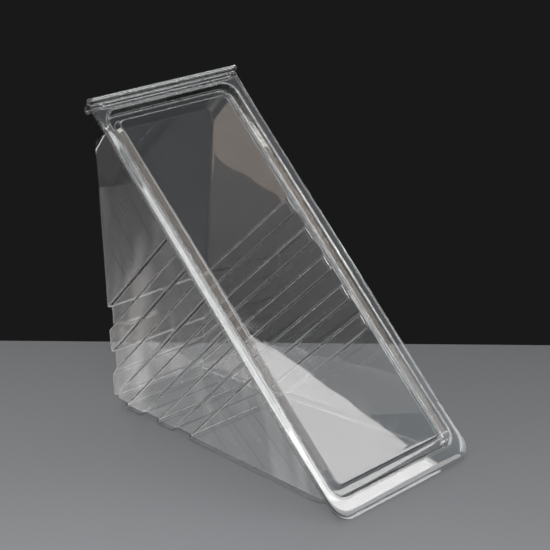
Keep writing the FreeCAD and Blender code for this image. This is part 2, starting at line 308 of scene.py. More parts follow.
class Mouth:
    """Stations round the mouth, the same for every loop of a sheet."""

    turns = 12  # steps round each corner

    def __init__(self, sizes, sides, ends):
        self.s = sizes
        self.half = sizes.width / 2 - sizes.side_flange
        self.near = sizes.mouth_start
        self.far = sizes.lid_length + sizes.lip_reach - sizes.front_flange
        quarter = spread(0, math.pi / 2, self.turns)
        runs = ("side", 1, sides), ("end", 1, ends[::-1]), ("side", -1, sides[::-1]), ("end", -1, ends)
        corners = (1, 1), (-1, 1), (-1, -1), (1, -1)
        self.stations = []
        for i, ((kind, sign, places), corner) in enumerate(zip(runs, corners)):
            self.stations += [(kind, sign, at) for at in places]
            self.stations += [("turn", corner, i * math.pi / 2 + a) for a in quarter]
        self.front = [i for i, s in enumerate(self.stations) if s[:2] == ("end", 1)]
        self.rear = [i for i, s in enumerate(self.stations) if s[:2] == ("end", -1)]

    def spot(self, station, half, near, far, radius):
        kind, sign, at = station
        if kind == "side":
            return sign * half, at
        if kind == "end":
            return at, far if sign > 0 else near
        x = sign[0] * (half - radius)
        y = far - radius if sign[1] > 0 else near + radius
        return x + radius * math.cos(at), y + radius * math.sin(at)

    def loop(self, inset, deep, corner):
        """Rounded loop, inset from the mouth's edge."""
        bounds = self.half - inset, self.near + inset, self.far - inset, corner
        return [(*self.spot(s, *bounds), deep) for s in self.stations]

    def outline(self, near, far, deep):
        """Flange's edge: round front corners, and square ones where the hinge band joins it."""
        half = self.s.width / 2
        reach = self.near + self.s.mouth_corner
        across = self.half - self.s.mouth_corner
        edge = []
        for station in self.stations:
            kind, sign, at = station
            if kind != "turn" or sign[1] > 0:
                edge.append((*self.spot(station, half, near, far, self.s.front_corner), deep))
                continue
            # 0 where the corner leaves the side, 1 at its point, 2 where it meets the back
            way = 2 - 2 * abs(at - 1.5 * math.pi) / (math.pi / 2)
            x = half + (across - half) * max(way - 1, 0)
            edge.append((sign[0] * x, reach + (near - reach) * min(way, 1), deep))
        return edge

    def droop(self, sheet):
        """Lets both side flanges hang towards their edges, as formed sheet does once it is trimmed."""
        pull = DROOP_PULL * self.s.thickness / 2 * self.s.droop / self.s.side_flange
        for i, (x, y, z) in enumerate(sheet.points):
            out = max(0.0, abs(x) - self.half) / self.s.side_flange
            out *= smooth(self.near, self.near + DROOP_FADE, y)
            out *= 1 - smooth(self.far - DROOP_FADE, self.far, y)
            sheet.points[i] = (x - math.copysign(pull * out, x), y, z + self.s.droop * out)

    def rear_row(self, ring):
        """The part of a flange's edge that faces the hinge, from left to right."""
        reach = self.turns // 2 + 1
        return ring[self.rear[0] - reach:self.rear[-1] + reach + 1]

    def lay_section(self, sheet, edge, section, corner_at):
        """Rings from a flange's edge inwards, down a section. Returns the first ring and the last."""
        loops = [self.loop(inset, deep, corner_at(inset)) for inset, deep in section]
        between = [
            [tuple(a + (b - a) * t for a, b in zip(p, q)) for p, q in zip(edge, loops[0])]
            for t in FLANGE_ROWS
        ]
        rings = [sheet.row(points) for points in [edge] + between + loops]
        for outer, inner in zip(rings, rings[1:]):
            sheet.ring(outer, inner)
        return rings[0], rings[-1]

    def panel(self, sheet, ring, deep_of, rise_of, free):
        """Fills a loop with rows straight across. Depth and rise for each metre of belt go by place."""
        front = ring[self.front[0] - 1:self.front[-1] + 2]
        rear = ring[self.rear[0] - 1:self.rear[-1] + 2][::-1]
        edge = sheet.points[front[0]][0]
        parts = [sheet.points[i][0] / edge for i in front[1:-1]]
        pairs = [(self.rear[-1] + 2 + i, self.rear[0] - 2 - i) for i in range(self.turns)]
        pairs += [(i, self.rear[0] - 2 - self.turns - i) for i in range(self.front[0] - 1)]
        held = HELD * len(pairs)
        rows = [rear]
        for i, (right, left) in enumerate(pairs):
            x, y, _ = sheet.points[ring[right]]
            move = sheet.draws[ring[right]][0]
            loose = free * min(1.0, i / held, (len(pairs) - i) / held)
            line = sheet.row(
                [(x * f, y, deep_of(y)) for f in parts],
                [(move * f, 0, rise_of(y)) for f in parts],
                [loose * (1 - f ** 4) for f in parts],
            )
            rows.append([ring[right]] + line + [ring[left]])
        sheet.strips(rows + [front])


def section_band(sheet, section, across, half_at):
    """Sweeps a section across the hinge side of a sheet. half_at narrows it at a rounded edge."""
    reach = max(across)
    rows = [sheet.row([(x * half_at(y) / reach, y, z) for x in across]) for y, z in section]
    sheet.strips(rows)
    return rows


def smooth(low, high, value):
    """Smooth step from 0 at low to 1 at high."""
    t = min(max((value - low) / (high - low), 0.0), 1.0)
    return t * t * (3 - 2 * t)


def rest_turn():
    """Turns a sheet from the pack's own axes to its rest on the table, about the hinge's axis."""
    s = bpy.context.scene
    strip, lid, sheet = s.wedge_hinge, s.wedge_lid, s.wedge_sheet
    turn = sheet.hinge_edge - strip.leg - lid.gap / 2 - sheet.thickness
    pivot = Vector((0, turn, -lid.gap / 2))
    slope = Matrix.Rotation(math.pi + s.wedge_tray.slope, 4, "X")
    return Matrix.Translation(Vector(HINGE["pos_m"])) @ slope @ Matrix.Translation(-pivot)


def mark_bends(mesh):
    """Gives each face its share of bend: 0 where the sheet is flat, 1 at tight bends and cut edges."""
    bm = bmesh.new()
    bm.from_mesh(mesh)
    bmesh.ops.remove_doubles(bm, verts=bm.verts, dist=SLIVER)
    bend = bm.faces.layers.float.new("bend")
    for face in bm.faces:
        turn = sum(edge.calc_face_angle(0) * edge.calc_length() for edge in face.edges)
        face[bend] = smooth(*BENT, turn / (2 * max(face.calc_area(), 1e-12)))
    bm.to_mesh(mesh)
    bm.free()


def adjust(thing, **settings):
    for name, value in settings.items():
        setattr(thing, name, value)


def add_object(name, data):
    made = bpy.data.objects.new(name, data)
    bpy.context.scene.collection.objects.link(made)
    return made


def finish_piece(piece, part, body, material):
    """Thickens a formed sheet, turns it to its rest and puts it in its CAD node's place."""
    sizes = bpy.context.scene.wedge_sheet
    adjust(
        piece.modifiers.new("wall", "SOLIDIFY"), thickness=sizes.thickness, offset=0,
        use_even_offset=True, use_quality_normals=True,
    )
    adjust(
        piece.modifiers.new("cut edge", "BEVEL"), width=sizes.thickness / 6, segments=2,
        limit_method="ANGLE", angle_limit=CUT_EDGE, use_clamp_overlap=True,
    )
    evaluated = piece.evaluated_get(bpy.context.evaluated_depsgraph_get())
    solid = bpy.data.meshes.new_from_object(evaluated)
    piece.modifiers.clear()
    piece.data = solid
    solid.name = piece.name
    for extra in ("draw", "free"):
        solid.attributes.remove(solid.attributes[extra])
    mark_bends(solid)
    solid.transform(rest_turn())
    solid.shade_smooth()
    solid.set_sharp_from_angle(angle=SHARP)
    solid.materials.clear()
    solid.materials.append(material)
    if body:
        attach(piece, body)
    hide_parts(part)


# ---- nodes
def open_tree(name, kind, inputs, outputs):
    """New node group. Its sockets are given as a type for each label."""
    tree = bpy.data.node_groups.new(name, kind)
    for way, sockets in (("INPUT", inputs), ("OUTPUT", outputs)):
        for label, form in sockets.items():
            tree.interface.new_socket(name=label, in_out=way, socket_type="NodeSocket" + form)
    return tree, tree.nodes.new("NodeGroupInput").outputs, tree.nodes.new("NodeGroupOutput")


def feed(tree, fed, *given, **named):
    """Sets a node's inputs, by order or by name, to values, or links them to outputs."""
    inputs = list(enumerate(given)) + [(name.replace("_", " "), v) for name, v in named.items()]
    for key, value in inputs:
        if isinstance(value, bpy.types.NodeSocket):
            tree.links.new(value, fed.inputs[key])
        else:
            fed.inputs[key].default_value = value


def node(tree, kind, *given, setup=None, **named):
    """Adds a node with the settings in setup, and feeds its inputs."""
    made = tree.nodes.new(kind)
    adjust(made, **(setup or {}))
    feed(tree, made, *given, **named)
    return made


def maths(tree, operation, *values):
    return node(tree, "ShaderNodeMath", *values, setup={"operation": operation}).outputs[0]


def ramp(tree, value, low, high):
    """Straight ramp of value, from 0 at low to 1 at high and on beyond both."""
    return node(tree, "ShaderNodeMapRange", value, low, high, setup={"clamp": False}).outputs[0]


def attribute(tree, name, kind):
    made = node(tree, "GeometryNodeInputNamedAttribute", setup={"data_type": kind}, Name=name)
    return made.outputs["Attribute"]


def moved(tree, geometry, way, reach):
    """Moves each point by its own vector, times reach."""
    offset = node(tree, "ShaderNodeVectorMath", way, setup={"operation": "SCALE"}, Scale=reach)
    return node(tree, "GeometryNodeSetPosition", geometry, Offset=offset.outputs[0]).outputs[0]


def belt_mask(tree, given, place):
    """1 on a belt's floor and 0 between belts and above them."""

    def calc(*values):
        return maths(tree, *values)

    along, deep = place.outputs["Y"], place.outputs["Z"]
    offset = calc("SUBTRACT", along, given["Middle"])
    index = calc("ROUND", calc("DIVIDE", offset, given["Pitch"]))
    most = calc("DIVIDE", calc("SUBTRACT", given["Belts"], 1.0), 2.0)
    index = calc("MAXIMUM", calc("MULTIPLY", most, -1.0), index)
    index = calc("MINIMUM", most, index)
    nearest = calc("MULTIPLY", index, given["Pitch"])
    away = calc("ABSOLUTE", calc("SUBTRACT", offset, nearest))
    outer = calc("DIVIDE", given["Mouth"], 2.0)
    inner = calc("DIVIDE", given["Floor"], 2.0)
    flank = calc("SUBTRACT", 1.0, ramp(tree, away, inner, outer))
    top = ramp(tree, deep, given["Start"], calc("ADD", given["Start"], given["Ramp"]))
    mask = calc("SMOOTH_MIN", flank, top, given["Bend"])
    mask = calc("SMOOTH_MIN", mask, 1.0, given["Bend"])
    return calc("SMOOTH_MAX", mask, 0.0, given["Bend"])


BELT_VALUES = ("Pitch", "Mouth", "Floor", "Start", "Ramp", "Depth", "Bend")


def forming_tree():
    """Presses the belts into a sheet and lets its flat panels bow a little."""
    inputs = {"Sheet": "Geometry", "Material": "Material", "Belts": "Int", "Seed": "Int"}
    inputs |= dict.fromkeys(("Middle", "Bow", "Bow Size", *BELT_VALUES), "Float")
    tree, given, leave = open_tree("form_sheet", "GeometryNodeTree", inputs, {"Formed": "Geometry"})
    position = node(tree, "GeometryNodeInputPosition").outputs[0]
    place = node(tree, "ShaderNodeSeparateXYZ", position)
    pressed = maths(tree, "MULTIPLY", belt_mask(tree, given, place), given["Depth"])
    belted = moved(tree, given["Sheet"], attribute(tree, "draw", "FLOAT_VECTOR"), pressed)

    scale = maths(tree, "DIVIDE", 1.0, given["Bow Size"])
    flow = {"noise_dimensions": "4D"}
    noise = node(tree, "ShaderNodeTexNoise", setup=flow, W=given["Seed"], Scale=scale, Detail=1.0)
    wave = maths(tree, "SUBTRACT", noise.outputs[0], BOW_REST)
    wave = maths(tree, "MULTIPLY", wave, maths(tree, "MULTIPLY", given["Bow"], 2.0))
    wave = maths(tree, "MULTIPLY", wave, attribute(tree, "free", "FLOAT"))
    bowed = moved(tree, belted, node(tree, "GeometryNodeInputNormal").outputs[0], wave)

    real = node(tree, "GeometryNodeRealizeInstances", bowed)
    paint = node(tree, "GeometryNodeSetMaterial", real.outputs[0], Material=given["Material"])
    feed(tree, leave, paint.outputs[0])
    return tree


def press(piece, material, seed, **values):
    """Adds the forming modifier to a sheet and sets its named inputs."""
    look = bpy.context.scene.wedge_look
    tree = bpy.data.node_groups.get("form_sheet") or forming_tree()
    modifier = piece.modifiers.new("form", "NODES")
    modifier.node_group = tree
    values |= {"Bow": look.bow, "Bow Size": look.bow_size, "Seed": seed, "Material": material}
    for item in tree.interface.items_tree:
        if item.in_out == "INPUT" and item.name in values:
            modifier[item.identifier] = values[item.name]


# ---- tray
class TrayForm:
    """Where the tray's middle surface lies, for any inset of its walls."""

    head = 12  # rows close together below the ledge, where belts start
    head_start, head_step = 0.0003, 0.00024  # from the ledge to the first, and from row to row
    squeeze_from = 2.2  # a wall shorter than this many times those rows squeezes them
    rows = 16  # rows from there to the foot
    turns = 7  # steps round the foot
    least_round = 0.0009
    tries, pace = 60, 0.8  # steps in closing in on the foot's corner, and how far each one goes

    def __init__(self, scene):
        sheet, tray, belt = scene.wedge_sheet, scene.wedge_tray, scene.wedge_belts
        self.sheet, self.tray, self.belt = sheet, tray, belt
        self.half_sheet = sheet.thickness / 2
        self.sin, self.cos = math.sin(tray.slope), math.cos(tray.slope)
        self.height = (sheet.lid_length + sheet.lip_reach) * self.sin + sheet.thickness * self.cos
        self.apex = self.height * self.sin - tray.back_offset * self.cos
        self.apex_deep = self.height * self.cos + tray.back_offset * self.sin
        self.middle = self.apex + belt.shift
        self.tan = math.tan(tray.wall_draft)
        self.top = tray.seat_depth + sheet.thickness
        self.body_inset = tray.seat_depth * math.tan(tray.seat_draft) + tray.ledge
        self.body_inset -= sheet.thickness / math.cos(tray.wall_draft)

    def floor(self, along, inset):
        """Depth of the square walls, round at the apex."""
        radius = self.tray.apex_round - inset
        middle = self.apex - (inset + radius) * (self.sin - self.cos)
        deep = self.apex_deep - (inset + radius) * (self.sin + self.cos)
        if middle - radius * self.cos < along < middle + radius * self.sin:
            return deep + math.sqrt(radius ** 2 - (along - middle) ** 2)
        bottom = (self.height - inset - along * self.sin) / self.cos
        back = (self.tray.back_offset - inset + along * self.cos) / self.sin
        return min(bottom, back)

    def wall_spot(self, mouth, station, deep, inset):
        """Place on the drafted body at one depth."""
        lean = self.body_inset + (deep - self.tray.seat_depth) * self.tan
        lean += inset / math.cos(self.tray.wall_draft)
        bounds = mouth.half - lean, mouth.near + lean, mouth.far - lean
        return (*mouth.spot(station, *bounds, self.tray.wall_corner - inset), deep)

    def foot(self, mouth, station, inset):
        """Sharp corner where a station's wall meets the square wall, found by closing in on it."""
        deep = self.tray.seat_depth
        for _ in range(self.tries):
            spot = self.wall_spot(mouth, station, deep, inset)
            deep += (self.floor(spot[1], inset) - deep) * self.pace
        return Vector(self.wall_spot(mouth, station, deep, inset))

    def inward(self, station, spot, inset):
        """Direction along the square wall, away from a station's wall."""
        kind, sign, at = station
        if kind == "side":
            return Vector((-sign, 0, 0))
        x, y = (0, -sign) if kind == "end" else (-math.cos(at), -math.sin(at))
        step = 0.0005
        rise = self.floor(spot.y + y * step, inset) - self.floor(spot.y, inset)
        return Vector((x, y, rise / step)).normalized()

    def round_runs(self, station, inset):
        """How far the foot's rounding reaches up the wall and over the square wall."""
        radius = self.tray.foot_round - inset
        if inset > self.half_sheet:  # belts keep a softer foot
            radius = max(radius + (inset - self.half_sheet) / 2, self.least_round)
        flat = radius * 0.92  # less than the radius, as the wall leans out
        tall = flat / self.cos
        short = radius * math.tan(self.tray.slope / 2 - self.tray.wall_draft / 2)
        kind, sign, at = station
        end = {"side": 0.0, "end": 1.0}.get(kind, abs(math.sin(at)))
        return tall + (short - tall) * end, flat + (short - flat) * end

    def column(self, mouth, station, inset):
        """Points down one station's wall and round its foot."""
        corner = self.foot(mouth, station, inset)
        up_run, in_run = self.round_runs(station, inset)
        end = corner.z - up_run
        heads = [self.head_start + self.head_step * i for i in range(self.head)]
        squeeze = min(1.0, (end - self.top) / (self.squeeze_from * heads[-1]))
        levels = [self.top + h * squeeze for h in heads]
        levels += spread(levels[-1], end, self.rows)[1:]
        points = [Vector(self.wall_spot(mouth, station, z, inset)) for z in levels]
        down = (corner - points[-1]).normalized() * up_run
        level = self.inward(station, corner, inset) * in_run
        for a in spread(0, math.pi / 2, self.turns)[1:]:
            points.append(corner - down * (1 - math.sin(a)) + level * (1 - math.cos(a)))
        last = points[-1]
        points[-1] = Vector((last.x, last.y, self.floor(last.y, inset)))
        return points


def belt_stations(form):
    """Stations along a side wall: close together on the belts' flanks, wide apart elsewhere."""
    belt = form.belt
    inner, outer = belt.floor / 2, belt.mouth / 2
    bend = belt.bend * (outer - inner)
    flank = spread(inner - bend, inner + bend, 7) + spread(outer - bend, outer + bend, 7)
    floor = inner * 0.7  # most of a belt's floor
    flank += [-f for f in flank] + spread(-floor, floor, 4)
    land = (belt.pitch - belt.mouth) / 2 * 0.75  # most of the wall between belts
    between = [belt.pitch / 2 + f for f in spread(-land, land, 3)]
    stations = set()
    for i in range(belt.count):
        centre = form.middle + (i - (belt.count - 1) / 2) * belt.pitch
        offsets = flank + between if i < belt.count - 1 else flank
        stations.update(round(centre + f, 7) for f in offsets)
    first, last = min(stations), max(stations)
    stations.update(spread(SIDE_SPAN[0], first, 14) + spread(last, SIDE_SPAN[1], 14))
    return sorted(stations)


def tray_mesh(scene):
    """The tray's sheet, and the place along it of the middle belt."""
    form = TrayForm(scene)
    sizes, tray, belt = form.sheet, form.tray, form.belt
    h = form.half_sheet
    mouth = Mouth(sizes, belt_stations(form), spread(*END_SPAN, 12))
    sheet = FormedSheet()

    # section from the flange over the seat and the ledge to the top of the body's wall
    lean = math.tan(tray.seat_draft)
    skin = sizes.thickness * math.hypot(1, lean)
    ledge = tray.seat_depth + h
    wall = form.top + form.head_start
    body = form.body_inset + h / math.cos(tray.wall_draft) - tray.seat_depth * form.tan
    corners = [
        (-FLAT_LEAD, h), (lean * h - skin / 2, h), (lean * ledge - skin / 2, ledge),
        (body + ledge * form.tan, ledge), (body + wall * form.tan, wall),
    ]
    section = bent_section(corners, [sizes.bend, sizes.bend, SOFT_BEND])
    band_end = sizes.mouth_start - TRAY_BAND
    edge = mouth.outline(band_end, sizes.lid_length + sizes.lip_reach, h)
    border, ring = mouth.lay_section(sheet, edge, section[:-1], lambda inset: sizes.mouth_corner - inset)

    # walls and their feet, and how far each place moves for each metre of belt
    pressed = h + belt.depth
    plain = [form.column(mouth, s, h) for s in mouth.stations]
    drawn = [form.column(mouth, s, pressed) for s in mouth.stations]
    foot = form.head + form.rows
    for k in range(len(plain[0])):
        loose = TRAY_LOOSE * smooth(form.head - 3, form.head + 3, k) * (1 - smooth(foot - 3, foot + 1, k))
        moves, frees = [], []
        for station, a, b in zip(mouth.stations, plain, drawn):
            side = station[0] == "side"
            moves.append((b[k] - a[k]) / belt.depth if side else (0, 0, 0))
            frees.append(loose if side else 0.0)
        lower = sheet.row([a[k] for a in plain], moves, frees)
        sheet.ring(ring, lower)
        ring = lower

    def rise(along):
        return (form.floor(along, pressed) - form.floor(along, h)) / belt.depth

    mouth.panel(sheet, ring, lambda y: form.floor(y, h), rise, TRAY_LOOSE)
    add_tray_bead(sheet, scene, mouth.rear_row(border), band_end)
    mouth.droop(sheet)
    return sheet.mesh("tray_sheet"), form.middle


def add_tray_bead(sheet, scene, join, band_end):
    """Hinge side of the tray's flange, with the hollow bead that stands down under it."""
    sizes, tray = scene.wedge_sheet, scene.wedge_tray
    h = sizes.thickness / 2
    start = sizes.hinge_edge + tray.bead_start + h
    radius = tray.bead_width / 2 - h
    end = start + 2 * radius
    low = sizes.thickness + tray.bead_depth - h - radius
    lip = (sizes.hinge_edge + 0.0004, h)  # end of the flat strip behind the bead
    leg = bent_section([lip, (start, h), (start, low)], [BEAD_BEND], 4)
    arc = arc_points((start + radius, low), radius, math.pi, 0, 16)
    back = bent_section([(end, low), (end, h), (band_end, h)], [BEAD_BEND], 4)
    section = [(sizes.hinge_edge, h)] + leg[:-1] + arc + back[1:-1]
    corner = 0.001  # radius of the flange's corners beside the hinge

    def half_at(y):
        short = max(0.0, corner - (y - sizes.hinge_edge))
        return sizes.width / 2 - corner + math.sqrt(corner ** 2 - short ** 2)

    rows = section_band(sheet, section, spread(-sizes.width / 2, sizes.width / 2, 40), half_at)
    sheet.stitch(rows[-1], join)


# ---- lid
def lid_mesh(scene):
    sizes, lid, tray = scene.wedge_sheet, scene.wedge_lid, scene.wedge_tray
    h = sizes.thickness / 2
    flange = -lid.gap - h
    floor = tray.seat_depth - lid.clearance - h
    window = flange + lid.panel_drop
    lean = lid.channel_lean / (floor + h + lid.gap)
    skin = sizes.thickness * math.hypot(1, lean)

    def outer(deep):
        return lid.clearance + lean * (deep + lid.gap) + skin / 2

    def inner(deep):
        return outer(floor - h) + lid.channel_floor + lean * (floor - h - deep) + skin

    # section from just outside the mouth, down the channel and a little way into the window
    corners = [
        (-0.00005, flange), (outer(flange), flange), (outer(floor), floor),
        (inner(floor), floor), (inner(window), window), (inner(window) + 0.0014, window),
    ]
    section = bent_section(corners, [sizes.bend, SOFT_BEND, SOFT_BEND, sizes.bend])
    low, high = outer(floor), inner(floor)
    mouth = Mouth(sizes, spread(*SIDE_SPAN, 48), spread(*END_SPAN, 14))
    sheet = FormedSheet()

    def corner_at(inset):
        t = min(max((inset - low) / (high - low), 0.0), 1.0)
        window_corner = lid.panel_corner + high - skin / 2
        return sizes.mouth_corner + (window_corner - sizes.mouth_corner) * t - inset

    band_end = sizes.mouth_start - LID_BAND
    edge = mouth.outline(band_end, sizes.lid_length, flange)
    border, ring = mouth.lay_section(sheet, edge, section, corner_at)
    mouth.panel(sheet, ring, lambda y: window, lambda y: 0.0, 1.0)
    add_lid_bead(sheet, scene, mouth.rear_row(border), band_end, flange)
    mouth.droop(sheet)
    return sheet.mesh("lid_sheet")


def add_lid_bead(sheet, scene, join, band_end, flange):
    """Hinge side of the lid: the bead at its edge and the low bar in front of it."""
    sizes, lid = scene.wedge_sheet, scene.wedge_lid
    h = sizes.thickness / 2
    start = sizes.hinge_edge + h
    radius = lid.bead_width / 2 - h
    end = start + 2 * radius
    high = -lid.gap - sizes.thickness - lid.bead_height + h + radius
    bar_start = sizes.hinge_edge + lid.bar_start
    bar_end = bar_start + lid.bar_width
    lean = 0.0005  # how far the bar's long sides lean
    section = [(start, -lid.gap), (start, high + 0.0006)]
    section += arc_points((start + radius, high), radius, math.pi, 2 * math.pi, 14)
    foot = bent_section([(end, high), (end, flange), (bar_start - 0.0001, flange)], [BEAD_BEND], 4)
    section += foot[1:-1]
    bar_from = len(section)
    flanks = spread(bar_start - h, bar_start + lean, 7) + spread(bar_end - lean, bar_end + h, 7)
    section += [(y, flange) for y in flanks]
    half = lid.bar_length / 2
    inner = half - 0.0012  # where close stations begin, for the bar's ends
    ends = spread(inner, half + h, 8)
    width = sizes.width / 2
    ends += [width - 0.0015, width]
    across = [-x for x in reversed(ends)] + spread(-inner, inner, 30)[1:-1] + ends
    rows = section_band(sheet, section, across, lambda y: width)
    for index in sum(rows[bar_from:], []):
        x, y, z = sheet.points[index]
        rise = smooth(bar_start - h, bar_start + lean, y) * (1 - smooth(bar_end - lean, bar_end + h, y))
        rise *= 1 - smooth(half - 0.0008, half + h, abs(x))
        sheet.points[index] = (x, y, z - lid.bar_height * rise)
    sheet.stitch(rows[-1], join)


# ---- hinge
def hinge_mesh(scene):
    """The fold behind the flanges: out from the tray's, round, and back to the lid's."""
    sizes, lid, hinge = scene.wedge_sheet, scene.wedge_lid, scene.wedge_hinge
    middle = -lid.gap / 2
    radius = (lid.gap + sizes.thickness) / 2
    fold = arc_points((sizes.hinge_edge - hinge.leg, middle), radius, math.pi / 2, 1.5 * math.pi, 14)
    section = [(sizes.hinge_edge, middle + radius)] + fold + [(sizes.hinge_edge, middle - radius)]
    half = sizes.width / 2 - hinge.margin
    sheet = FormedSheet()
    section_band(sheet, section, spread(-half, half, 40), lambda y: half)
    return sheet.mesh("hinge_sheet")


# ---- materials
def unevenness_group():
    """Faint unevenness of formed sheet: long flow waves, and rubbed patches that are less clear."""
    inputs = dict.fromkeys(("Wave Size", "Haze", "Scuff", "Bend Haze"), "Float")
    outputs = {"Height": "Float", "Roughness": "Float"}
    tree, given, leave = open_tree("sheet_unevenness", "ShaderNodeTree", inputs, outputs)
    place = node(tree, "ShaderNodeTexCoord").outputs["Object"]
    scale = maths(tree, "DIVIDE", 1.0, given["Wave Size"])
    wave = node(tree, "ShaderNodeTexNoise", Vector=place, Scale=scale, Detail=1.5, Roughness=0.4)
    rub = node(tree, "ShaderNodeTexNoise", Vector=place, Scale=60.0, Detail=5.0, Roughness=0.65)
    patch = maths(tree, "MULTIPLY", maths(tree, "SUBTRACT", rub.outputs[0], RUB_FROM), RUB_GAIN)
    patch = maths(tree, "MINIMUM", maths(tree, "MAXIMUM", patch, 0.0), 1.0)
    rough = maths(tree, "ADD", given["Haze"], maths(tree, "MULTIPLY", patch, given["Scuff"]))
    bend = node(tree, "ShaderNodeAttribute", setup={"attribute_name": "bend"}).outputs["Fac"]
    rough = maths(tree, "ADD", rough, maths(tree, "MULTIPLY", bend, given["Bend Haze"]))
    feed(tree, leave, wave.outputs[0], rough)
    return tree


def new_material(name):
    material = bpy.data.materials.new(name)
    material.use_nodes = True
    return material, material.node_tree, material.node_tree.nodes["Principled BSDF"]


def clear_sheet(name, wave_size, haze=1.0, ripple=1.0):
    """Clear formed sheet with its own share of unevenness. Lamps shine through it onto the table."""
    look = bpy.context.scene.wedge_look
    material, tree, shader = new_material(name)
    group = bpy.data.node_groups.get("sheet_unevenness") or unevenness_group()
    detail = node(
        tree, "ShaderNodeGroup", setup={"node_tree": group}, Wave_Size=wave_size, Haze=look.haze * haze,
        Scuff=look.scuff, Bend_Haze=look.bend_haze,
    ).outputs
    bump = node(
        tree, "ShaderNodeBump", Strength=look.ripple * ripple, Distance=0.0006, Height=detail["Height"]
    )
    feed(
        tree, shader, Base_Color=(*look.tint, 1), Transmission_Weight=1.0, Metallic=0.0,
        IOR=look.index, Normal=bump.outputs[0], Roughness=detail["Roughness"],
    )
    through = node(tree, "ShaderNodeBsdfTransparent", Color=(0.93, 0.94, 0.94, 1)).outputs[0]
    shadow = node(tree, "ShaderNodeLightPath").outputs["Is Shadow Ray"]
    mix = node(tree, "ShaderNodeMixShader", shadow, shader.outputs[0], through)
    feed(tree, tree.nodes["Material Output"], mix.outputs[0])
    return material


def satin_table(look):
    """Satin board with painted shade: its colour darkens towards its back edge, where less lamp light
    falls, with slow changes of tone.
    """
    material, tree, shader = new_material("satin_table")
    place = node(tree, "ShaderNodeTexCoord").outputs["Object"]
    heading = (math.sin(look.heading), math.cos(look.heading), 0)
    dot = {"operation": "DOT_PRODUCT"}
    ahead = node(tree, "ShaderNodeVectorMath", place, heading, setup=dot).outputs["Value"]
    cloud = node(tree, "ShaderNodeTexNoise", Vector=place, Scale=4.0, Detail=2.0).outputs[0]
    drift = maths(tree, "MULTIPLY", maths(tree, "SUBTRACT", cloud, 0.5), TABLE_DRIFT)
    reach = maths(tree, "ADD", ahead, drift)
    # painted shade: the colour ramps from the lit front to the darker back edge
    shade = node(tree, "ShaderNodeMapRange", reach, *TABLE_PAINTED_SHADE)
    tone = node(tree, "ShaderNodeValToRGB", shade.outputs["Result"])
    tone.color_ramp.elements[0].color = (*look.table_painted_light_front, 1)
    tone.color_ramp.elements[1].color = (*look.table_painted_shade_back, 1)
    feed(tree, shader, Base_Color=tone.outputs["Color"], Roughness=0.24, Specular_IOR_Level=0.4)
    return material


# ---- stage
def add_camera(look):
    camera = bpy.data.cameras.new("camera")
    adjust(camera, sensor_width=36, lens=look.lens, clip_start=0.01)
    holder = add_object("camera", camera)
    turn = Matrix.Rotation(-look.heading, 4, "Z") @ Matrix.Rotation(math.pi / 2 - look.tilt, 4, "X")
    turn @= Matrix.Rotation(look.roll, 4, "Z")
    holder.matrix_world = Matrix.Translation(Vector(look.place)) @ turn
    bpy.context.scene.camera = holder


# the table's corners, ahead of the camera and to its right, in metres
TABLE = ((0.705, 1.4), (0.705, -1.027), (0.568, -0.383), (-1.7, -0.383), (-1.7, 1.4))
TABLE_THICKNESS = 0.03
TABLE_PAINTED_SHADE = (-0.22, 0.10)  # ahead of the pack's middle, where the table's painted shade starts and stops changing
TABLE_DRIFT = 0.08  # how far that wanders from place to place
FLOOR_DROP = 0.8
FLOOR_REACH = 15.0

# name: azimuth from +X in degrees, reach and height of its middle, height of its aim,
# width and height of its face, roll of its face in degrees, radiance, colour.
# The card has no aim. It lies flat, shines up in streaks, and isn't seen through the sheet.
LAMPS = {
    "front": (223, 0.42, 0.55, 0.0, (0.20, 0.18), 0, 20, (1.0, 0.99, 0.98)),
    "right_box": (6, 1.30, 0.30, 0.05, (0.20, 0.20), 0, 10, (1.0, 0.99, 0.96)),
    "window": (-46.2, 1.60, 1.12, 1.12, (0.75, 0.95), -12, 3.4, (1.0, 0.955, 0.95)),
    "warm_wall": (150, 1.30, 0.0, 0.0, (1.6, 0.7), 0, 1.75, (1.0, 0.82, 0.71)),
    "left_box": (165, 1.20, 0.45, 0.1, (0.5, 0.3), 0, 4.5, (1.0, 0.99, 0.96)),
    "rim": (85, 0.75, 1.10, 0.0, (0.60, 0.50), 0, 9.5, (1.0, 1.0, 1.0)),
    "strip": (112, 0.95, 0.05, 0.05, (0.06, 0.5), 0, 6, (1.0, 0.99, 0.97)),
    "card": (124.5, 0.1375, 0.003, None, (0.335, 0.20), 0, 0.9, (1.0, 0.95, 0.92)),
    "side_box": (-47, 0.88, 1.09, 0.05, (0.55, 0.32), 0, 2.1, (1.0, 0.985, 0.96)),
}


def add_table(look):
    """Board whose back edge lies square to the view, a little behind the pack."""
    foot = Vector((look.place[0], look.place[1], 0))
    turn = Matrix.Rotation(-look.heading, 3, "Z")
    top = [foot + turn @ Vector((right, ahead, 0)) for ahead, right in TABLE]
    under = [p - Vector((0, 0, TABLE_THICKNESS)) for p in top]
    count = len(TABLE)
    faces = [tuple(range(count)), tuple(reversed(range(count, 2 * count)))]
    faces += [(i, i + count, (i + 1) % count + count, (i + 1) % count) for i in range(count)]
    mesh = bpy.data.meshes.new("table")
    mesh.from_pydata(top + under, [], faces)
    mesh.materials.append(satin_table(look))
    close_up(mesh)
    table = add_object("table", mesh)


